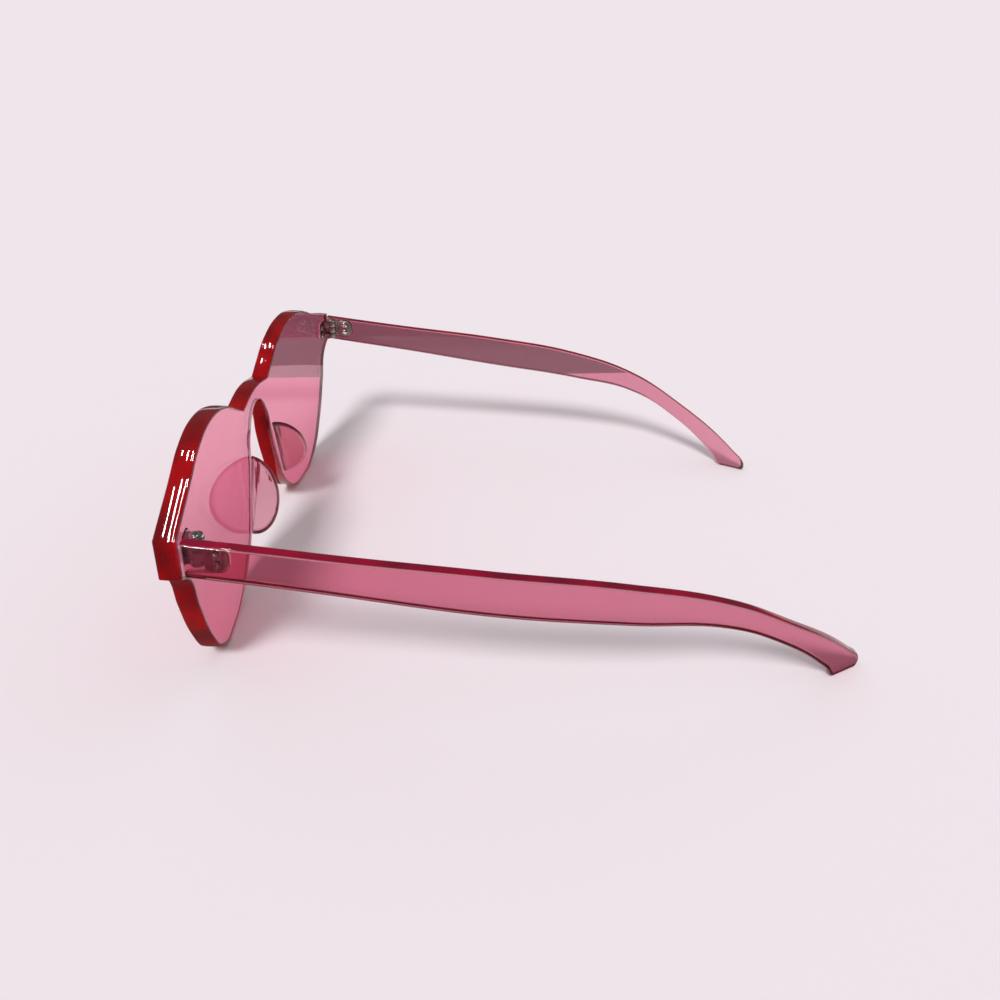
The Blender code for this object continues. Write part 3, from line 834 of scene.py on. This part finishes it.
def make_front(settings):
    """The curved plate, with a recess and two blind holes for each front leaf."""
    front, hinge, screw = (in_millimetres(g) for g in (settings.front, settings.hinge, settings.screw))
    bm = outline_slab(front_outline(front), front.thickness, front.edge, OUTLINE_STEPS, front.crown)
    sliced(bm, -FRONT_WIDTH / 2, FRONT_WIDTH / 2, PLATE_SLICE)
    for vertex in bm.verts:
        x, height, inward = vertex.co
        vertex.co = (x, plate_back(x, front) - front.thickness / 2 - inward, height)
    tools = []
    for side, _ in SIDES:
        place = mirrored(side) @ front_leaf_frame(front)
        tools += pocket_tools(hinge, front_leaf(hinge), screw, -hinge.seat, place)
    finish = settings.finish
    plastic = material_once(
        "clear_red_polycarbonate",
        moulded_polycarbonate,
        finish.front[:],
        finish.front_density,
        (finish.front_painted_glow[:], finish.front_painted_glow_deep[:]),
        finish.front_edge_clearness,
        finish.front_roughness,
    )
    finished(combined(bm, tools, "DIFFERENCE"), "front_plate", "front", plastic)


def temple_outline(temple):
    """The temple's side view in (depth, height), along its top to the tip and back under it."""
    start, end = TEMPLE_LOW.y, TEMPLE_HIGH.y
    to_ear = end - TEMPLE_END_STATIONS[0][0] - start
    stations = [(start + share * to_ear, drop, height) for share, drop, height in TEMPLE_SHARE_STATIONS]
    stations += [(end - before, drop, height) for before, drop, height in TEMPLE_END_STATIONS]
    half = temple.hinge_end / 2
    top = [(start, PIVOT.z + half, CORNER)]
    bottom = [(start, PIVOT.z - half, CORNER)]
    for depth, drop, height in stations:
        top.append((depth, PIVOT.z - drop + height / 2, SMOOTH))
        bottom.append((depth, PIVOT.z - drop - height / 2, SMOOTH))
    flat_end = end - temple.tip_rounding
    tip = [
        (end - temple.tip_top_length, temple.tip_top, SMOOTH),
        (end, temple.tip_nose, SMOOTH),
        (flat_end, 0, LEVEL),
        (flat_end - temple.tip_flat, 0, LEVEL),
        (end - temple.tip_heel_length, temple.tip_heel, SMOOTH),
    ]
    return [*top, *tip, *reversed(bottom)]


def temple_bend(temple, y, outward):
    """Where a point of the flat temple goes sideways: a slight bow outwards, then in to the head."""
    share = (y - TEMPLE_LOW.y) / (TEMPLE_HIGH.y - TEMPLE_LOW.y)
    bow = temple.flare * share**2 - (temple.flare + temple.tip_inset) * share**3
    thin = 1 + (temple.tip_thickness / temple.thickness - 1) * share
    return FRONT_WIDTH / 2 + bow - (temple.thickness / 2 - outward) * thin


def make_temples(settings):
    """Both temples, each with the pocket and the blind holes for its leaf."""
    temple, hinge, screw = (in_millimetres(g) for g in (settings.temple, settings.hinge, settings.screw))
    finish = settings.finish
    plastic = material_once(
        "deep_red_polycarbonate",
        moulded_polycarbonate,
        finish.temple[:],
        finish.temple_density,
        (finish.temple_painted_glow[:], finish.temple_painted_glow_deep[:]),
        finish.temple_edge_clearness,
        finish.temple_roughness,
    )
    middle_x = FRONT_WIDTH / 2 - temple.thickness / 2
    laid_flat = Matrix(((0, 1, 0, 0), (0, 0, 1, 0), (1, 0, 0, -middle_x), (0, 0, 0, 1)))
    for side, side_name in SIDES:
        outline = temple_outline(temple)
        slab = outline_slab(outline, temple.thickness, temple.edge, OUTLINE_STEPS, temple.crown)
        place = laid_flat @ temple_leaf_frame()
        tools = pocket_tools(hinge, temple_leaf(hinge), screw, -hinge.temple_length, place)
        arm = combined(slab, tools, "DIFFERENCE")
        sliced(arm, TEMPLE_LOW.y, TEMPLE_HIGH.y, TEMPLE_SLICE)
        for vertex in arm.verts:
            y, height, outward = vertex.co
            vertex.co = (temple_bend(temple, y, outward), y, height)
        name = f"temple_{side_name}"
        finished(arm, name, f"{side_name}_temple", plastic, mirrored(side))


def nasal_edge(front):
    """The (height, x) points of the left lens's nasal edge, just inside its rounding, from the table up."""
    slab = outline_slab(front_outline(front), front.thickness, front.edge, OUTLINE_STEPS)
    wall = front.thickness / 2 - front.edge
    underside = front.bridge_top - front.bridge_depth
    points = sorted(
        (v.co.y, v.co.x)
        for v in slab.verts
        if 0 < v.co.x < front.lens_spacing / 2 and v.co.y < underside and abs(v.co.z - wall) < OUTLINE_GAP
    )
    slab.free()
    return points


def read_between(points, height):
    """The x that the (height, x) points give at this height."""
    for (low, x_low), (high, x_high) in zip(points, points[1:]):
        if low <= height <= high:
            return x_low + (x_high - x_low) * (height - low) / (high - low)
    return points[-1][1]


def make_pads(settings):
    """The two fins that stand on the plate's back face along the nasal edges and lean outwards."""
    front, pad, finish = in_millimetres(settings.front), in_millimetres(settings.pad), settings.finish
    edge_points = nasal_edge(front)
    plastic = material_once(
        "clear_pale_polycarbonate",
        moulded_polycarbonate,
        finish.pad[:],
        finish.pad_density,
        (finish.pad_painted_glow[:], finish.pad_painted_glow_deep[:]),
        finish.pad_edge_clearness,
        finish.pad_roughness,
    )
    points = [(0, pad.height / 2, CORNER), (0, -pad.height / 2, CORNER)]
    for step in range(1, PAD_STEPS):
        turn = math.pi * (step / PAD_STEPS - 0.5)
        points.append((pad.depth * math.cos(turn), pad.height / 2 * math.sin(turn), SMOOTH))
    for side, side_name in SIDES:
        bm = outline_slab(points, pad.thickness, pad.edge, PAD_OUTLINE_STEPS)
        sliced(bm, 0, pad.depth, PLATE_SLICE)
        for vertex in bm.verts:
            depth, rise, across = vertex.co
            height = pad.centre + rise
            foot = read_between(edge_points, height) + front.edge + pad.thickness / 2
            x = foot + across + pad.splay * depth
            vertex.co = (x, plate_back(x, front) + pad.seat + depth, height)
        finished(bm, f"nose_pad_{side_name}", "front", plastic, mirrored(side))


def knuckle_ranges(hinge):
    """The (low, high) pairs of the front leaf's two knuckles and of the temple leaf's one."""
    middle = hinge.middle / 2
    outer = (middle + hinge.knuckle_gap, hinge.stack / 2)
    return ((-outer[1], -outer[0]), outer), ((-middle, middle),)


def hinge_leaf(hinge, leaf_kind, screw, knuckles):
    """A leaf in its own frame: a rounded slab joined to its knuckles, with bores for the three screws."""
    _, offset = leaf_kind
    start = leaf_start(hinge)
    slab = eased(leaf_shape(hinge, leaf_kind, start, 0.0, offset), hinge.leaf_edge)
    web_back = offset + hinge.leaf_thickness - hinge.web_step
    joined = []
    for low, high in knuckles:
        joined.append(block((0, hinge.web_step, low), (start + hinge.web_lap, web_back, high)))
        joined.append(eased(rod(hinge.knuckle, low, high), hinge.leaf_edge))
    bores = [rod(screw.pivot + hinge.screw_gap, -hinge.stack, hinge.stack)]
    bores += [fixing_hole(hinge, leaf_kind, screw, height) for _, height in fixing_levels(screw)]
    return combined(combined(slab, joined, "UNION"), bores, "DIFFERENCE")


def make_leaves(settings):
    """The four hinge leaves."""
    front, hinge, screw = (in_millimetres(g) for g in (settings.front, settings.hinge, settings.screw))
    finish = settings.finish
    metal = material_once("nickel_silver", tumbled_nickel_silver, finish.leaf[:], finish.leaf_worn[:])
    front_knuckles, temple_knuckles = knuckle_ranges(hinge)
    for side, side_name in SIDES:
        leaf = hinge_leaf(hinge, front_leaf(hinge), screw, front_knuckles)
        place = mirrored(side) @ front_leaf_frame(front)
        finished(leaf, f"hinge_front_leaf_{side_name}", "front", metal, place)
        leaf = hinge_leaf(hinge, temple_leaf(hinge), screw, temple_knuckles)
        place = mirrored(side) @ temple_leaf_frame()
        finished(leaf, f"hinge_temple_leaf_{side_name}", f"{side_name}_temple", metal, place)


def turned_screw(shank, depth, head, head_height, screw):
    """A turned screw whose slotted head stands on z = 0 and whose threaded shank hangs below."""
    dome = [(0.0, head_height)]
    for step in range(DOME_STEPS + 1):
        turn = math.radians(90) * step / DOME_STEPS
        out = DOME_FLAT + (1 - DOME_FLAT) * math.sin(turn)
        up = DOME_UPRIGHT + (1 - DOME_UPRIGHT) * math.cos(turn)
        dome.append((head * out, head_height * up))
    profile = [*dome, (head, HEAD_EASE), (head - HEAD_EASE, 0), (shank, 0)]
    threads = int((depth - 2 * shank) / screw.pitch)
    top = -shank
    for index in range(threads):
        crest = top - index * screw.pitch
        profile += [(shank - screw.thread, crest), (shank, crest - screw.pitch / 2)]
    profile += [(shank - screw.thread, top - threads * screw.pitch), (shank / 2, -depth), (0.0, -depth)]
    bm = bmesh.new()
    ring = [bm.verts.new((radius, 0, height)) for radius, height in profile]
    edges = [bm.edges.new(pair) for pair in zip(ring, ring[1:])]
    bmesh.ops.spin(
        bm,
        geom=ring + edges,
        cent=(0, 0, 0),
        axis=(0, 0, 1),
        angle=math.tau,
        steps=SCREW_SIDES,
        use_merge=True,
    )
    bmesh.ops.remove_doubles(bm, verts=bm.verts, dist=SHAPE_GAP)
    bmesh.ops.recalc_face_normals(bm, faces=bm.faces)
    slot = block((-2 * head, -screw.slot / 2, head_height / 2), (2 * head, screw.slot / 2, 2 * head_height))
    return combined(bm, [slot], "DIFFERENCE")


def make_screws(settings):
    """The two pivot screws and the eight small screws that hold the leaves."""
    front, hinge, screw = (in_millimetres(g) for g in (settings.front, settings.hinge, settings.screw))
    metal = material_once("turned_steel", turned_steel, settings.finish.screw[:])
    depth = hinge.screw_gap + hinge.leaf_thickness + screw.grip
    for side, side_name in SIDES:
        pivot = turned_screw(
            screw.pivot, hinge.stack + hinge.screw_gap, screw.pivot_head, screw.pivot_head_height, screw
        )
        place = front_leaf_frame(front) @ Matrix.Translation((0, 0, hinge.stack / 2 + hinge.screw_gap))
        finished(pivot, f"pivot_screw_{side_name}", "front", metal, mirrored(side) @ place)
        for name, body, leaf_kind, leaf_frame in (
            ("front_leaf_screw", "front", front_leaf(hinge), front_leaf_frame(front)),
            ("temple_leaf_screw", f"{side_name}_temple", temple_leaf(hinge), temple_leaf_frame()),
        ):
            _, offset = leaf_kind
            for level, height in fixing_levels(screw):
                head, head_height = screw.fixing_head, screw.fixing_head_height
                fixing = turned_screw(screw.fixing, depth, head, head_height, screw)
                seat = Vector((fixing_reach(hinge, leaf_kind), offset - hinge.screw_gap, height))
                spot = leaf_frame @ Matrix.Translation(seat) @ out_of_carrier()
                whole_name = f"{name}_{side_name}_{level}"
                finished(fixing, whole_name, body, metal, mirrored(side) @ spot)


def towards(azimuth, elevation):
    """The direction to something that stands at this azimuth and elevation. Azimuth 0 is towards -Y."""
    return Vector(
        (
            math.sin(azimuth) * math.cos(elevation),
            -math.cos(azimuth) * math.cos(elevation),
            math.sin(elevation),
        )
    )


def make_floor(studio):
    """A wide round table top, just under the pieces that stand on it."""
    bm = bmesh.new()
    bmesh.ops.create_circle(bm, cap_ends=True, segments=TABLE_SIDES, radius=TABLE_RADIUS)
    bmesh.ops.translate(bm, verts=bm.verts, vec=(0, 0, -studio.table_gap))
    floor = shape_object("table_top", bm)
    floor.data.materials.append(material_once("matt_card", table_board, studio.backdrop[:]))


def make_dark_cards(studio):
    """Three dark cards that the camera doesn't see, and that throw no shadow. They are painted shade that
    glows at a fixed grey. One stands on the wearer's right and darkens what is seen through the clear
    plastic there. The others lie on the wearer's left and before the sunglasses. They are only mirrored, and
    keep the reflections in the near edges deep."""
    turn = Matrix.Rotation(studio.card_turn, 4, "Z") @ Matrix.Rotation(math.radians(90), 4, "Y")
    stand = Matrix.Translation((-studio.card_right, -studio.card_forward, studio.card_height / 2)) @ turn
    make_card("standing_card", stand, studio.card_height, studio.card_width, studio.card[:])
    size = studio.lying_size
    for name, x, y in (
        ("side_card", studio.card_side + size / 2, 0),
        ("front_card", 0, -studio.card_front - size / 2),
    ):
        lie = Matrix.Translation((x, y, -studio.table_gap / 2))
        make_card(name, lie, size, size, studio.card_before[:]).visible_transmission = False


def make_card(name, place, length_x, length_y, shade):
    """A flat card of this size that only rays reflected by or sent through other things find."""
    bm = bmesh.new()
    size = Matrix.Diagonal((length_x, length_y, 1, 1))
    bmesh.ops.create_grid(bm, x_segments=1, y_segments=1, size=0.5, matrix=place @ size)
    card = shape_object(name, bm)
    card.data.materials.append(material_once(name, painted_shade_card, shade))
    card.visible_camera = card.visible_diffuse = card.visible_shadow = False
    return card


def make_surround(studio):
    """The room round the table. The camera sees a pale backdrop. The pieces are lit evenly from all round,
    and glossy and clear things show a darker room."""
    world = bpy.data.worlds.new("studio")
    world.use_nodes = True
    tree = world.node_tree
    tree.nodes.clear()
    path = add_node(tree, "ShaderNodeLightPath")
    strength = studio.fill
    for kind, value in (("Is Glossy Ray", studio.surround), ("Is Transmission Ray", studio.depths)):
        strength = add_node(
            tree, "ShaderNodeMix", {"Factor": path.outputs[kind], "A": strength, "B": value}
        ).outputs["Result"]
    light = add_node(tree, "ShaderNodeBackground", {"Color": (1.0, 1.0, 1.0, 1.0), "Strength": strength})
    seen = add_node(tree, "ShaderNodeBackground", {"Color": (*studio.backdrop, 1.0), "Strength": 1.0})
    shades = {1: light.outputs["Background"], 2: seen.outputs["Background"]}
    both = add_node(tree, "ShaderNodeMixShader", {"Fac": path.outputs["Is Camera Ray"], **shades})
    add_node(tree, "ShaderNodeOutputWorld", {"Surface": both.outputs["Shader"]})
    bpy.context.scene.world = world


def hung_light(name, kind, direction, strength):
    """A lamp one metre away in this direction that shines at the middle of the table. Its own X axis lies
    square to Y."""
    data = bpy.data.lights.new(name, kind)
    data.energy = strength
    lamp = bpy.data.objects.new(name, data)
    across = direction.cross(Vector((0, 1, 0))).normalized()
    turn = Matrix((across, direction.cross(across), direction)).transposed()
    lamp.matrix_world = Matrix.Translation(direction) @ turn.to_4x4()
    bpy.context.scene.collection.objects.link(lamp)
    return lamp


def make_light(studio):
    """One soft main light, and narrow lights that only draw glints: a long one beside the main light, and
    three at each of two heights before the sunglasses."""
    main = towards(studio.key_azimuth, studio.key_elevation)
    key = hung_light("main_light", "SUN", main, studio.key_strength)
    key.data.angle = studio.key_softness
    key.visible_glossy = key.visible_transmission = False
    direction = towards(studio.overhead_azimuth, studio.overhead_elevation)
    make_glint(
        "overhead_light", direction, studio.overhead_strength, studio.overhead_length, studio.overhead_width
    )
    for level, elevation in (("low", studio.strip_elevation), ("high", studio.high_strip_elevation)):
        middle = towards(studio.strip_azimuth, elevation)
        for index in (-1, 0, 1):
            direction = Matrix.Rotation(index * studio.strip_spacing, 3, "X") @ middle
            name = f"strip_light_{level}_{index + 2}"
            make_glint(name, direction, studio.strip_strength, studio.strip_length, studio.strip_width)


def make_glint(name, direction, strength, length_angle, width_angle):
    """A lamp that only shows as a glint in glossy things."""
    glint = hung_light(name, "AREA", direction, strength)
    glint.data.shape = "RECTANGLE"
    glint.data.size = 2 * math.tan(length_angle / 2)
    glint.data.size_y = 2 * math.tan(width_angle / 2)
    glint.visible_camera = glint.visible_diffuse = glint.visible_transmission = False


def make_camera(studio):
    """The camera, where the photograph's camera stood."""
    data = bpy.data.cameras.new("camera")
    data.sensor_width = SENSOR_WIDTH
    data.lens = studio.camera_lens
    data.shift_x, data.shift_y = studio.camera_shift
    data.clip_start = NEAREST_SEEN
    camera = bpy.data.objects.new("camera", data)
    turn = Matrix.Rotation(studio.camera_azimuth, 4, "Z")
    tilt = Matrix.Rotation(math.radians(90) - studio.camera_elevation, 4, "X")
    lean = Matrix.Rotation(studio.camera_roll, 4, "Z")
    camera.matrix_world = Matrix.Translation(studio.camera_place) @ turn @ tilt @ lean
    bpy.context.scene.collection.objects.link(camera)
    bpy.context.scene.camera = camera


class SUNGLASSES_OT_studio(bpy.types.Operator):
    """Sets up the table top, the light and the camera"""

    bl_idname = "sunglasses.make_studio"
    bl_label = "Studio"

    def execute(self, context):
        studio = context.scene.sunglasses.studio
        make_floor(studio)
        make_dark_cards(studio)
        make_surround(studio)
        make_light(studio)
        make_camera(studio)
        context.scene.view_settings.view_transform = "Standard"
        return {"FINISHED"}


class SUNGLASSES_OT_front(bpy.types.Operator):
    """Makes the one-piece front"""

    bl_idname = "sunglasses.make_front"
    bl_label = "Front"

    def execute(self, context):
        make_front(context.scene.sunglasses)
        return {"FINISHED"}


class SUNGLASSES_OT_pads(bpy.types.Operator):
    """Makes the nose pads"""

    bl_idname = "sunglasses.make_pads"
    bl_label = "Nose pads"

    def execute(self, context):
        make_pads(context.scene.sunglasses)
        return {"FINISHED"}


class SUNGLASSES_OT_temples(bpy.types.Operator):
    """Makes the temples"""

    bl_idname = "sunglasses.make_temples"
    bl_label = "Temples"

    def execute(self, context):
        make_temples(context.scene.sunglasses)
        return {"FINISHED"}


class SUNGLASSES_OT_leaves(bpy.types.Operator):
    """Makes the hinge leaves"""

    bl_idname = "sunglasses.make_leaves"
    bl_label = "Hinge leaves"

    def execute(self, context):
        make_leaves(context.scene.sunglasses)
        return {"FINISHED"}


class SUNGLASSES_OT_screws(bpy.types.Operator):
    """Makes the pivot screws and the screws of the leaves"""

    bl_idname = "sunglasses.make_screws"
    bl_label = "Screws"

    def execute(self, context):
        make_screws(context.scene.sunglasses)
        return {"FINISHED"}


SIZE_GROUPS = (FrontSizes, TempleSizes, PadSizes, HingeSizes, ScrewSizes, Finishes, Studio)
OPERATORS = (
    SUNGLASSES_OT_studio,
    SUNGLASSES_OT_front,
    SUNGLASSES_OT_pads,
    SUNGLASSES_OT_temples,
    SUNGLASSES_OT_leaves,
    SUNGLASSES_OT_screws,
)


class SUNGLASSES_PT_panel(bpy.types.Panel):
    """The sunglasses' sizes and the buttons that make their pieces"""

    bl_idname = "SUNGLASSES_PT_panel"
    bl_label = "Round Sunglasses"
    bl_space_type = "VIEW_3D"
    bl_region_type = "UI"
    bl_category = "Sunglasses"

    def draw(self, context):
        settings = context.scene.sunglasses
        for group_name in settings.__annotations__:
            group = getattr(settings, group_name)
            section = self.layout.box()
            section.label(text=settings.bl_rna.properties[group_name].name)
            for name in group.__annotations__:
                section.prop(group, name)
        for operator in OPERATORS:
            self.layout.operator(operator.bl_idname)


CLASSES = (*SIZE_GROUPS, SunglassesSettings, *OPERATORS, SUNGLASSES_PT_panel)


def register():
    for kind in CLASSES:
        bpy.utils.register_class(kind)
    bpy.types.Scene.sunglasses = bpy.props.PointerProperty(type=SunglassesSettings)


def unregister():
    del bpy.types.Scene.sunglasses
    for kind in reversed(CLASSES):
        bpy.utils.unregister_class(kind)


def main():
    register()
    bpy.ops.sunglasses.make_studio()
    bpy.ops.sunglasses.make_front()
    bpy.ops.sunglasses.make_pads()
    bpy.ops.sunglasses.make_temples()
    bpy.ops.sunglasses.make_leaves()
    bpy.ops.sunglasses.make_screws()
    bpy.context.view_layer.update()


if __name__ == "__main__":
    main()
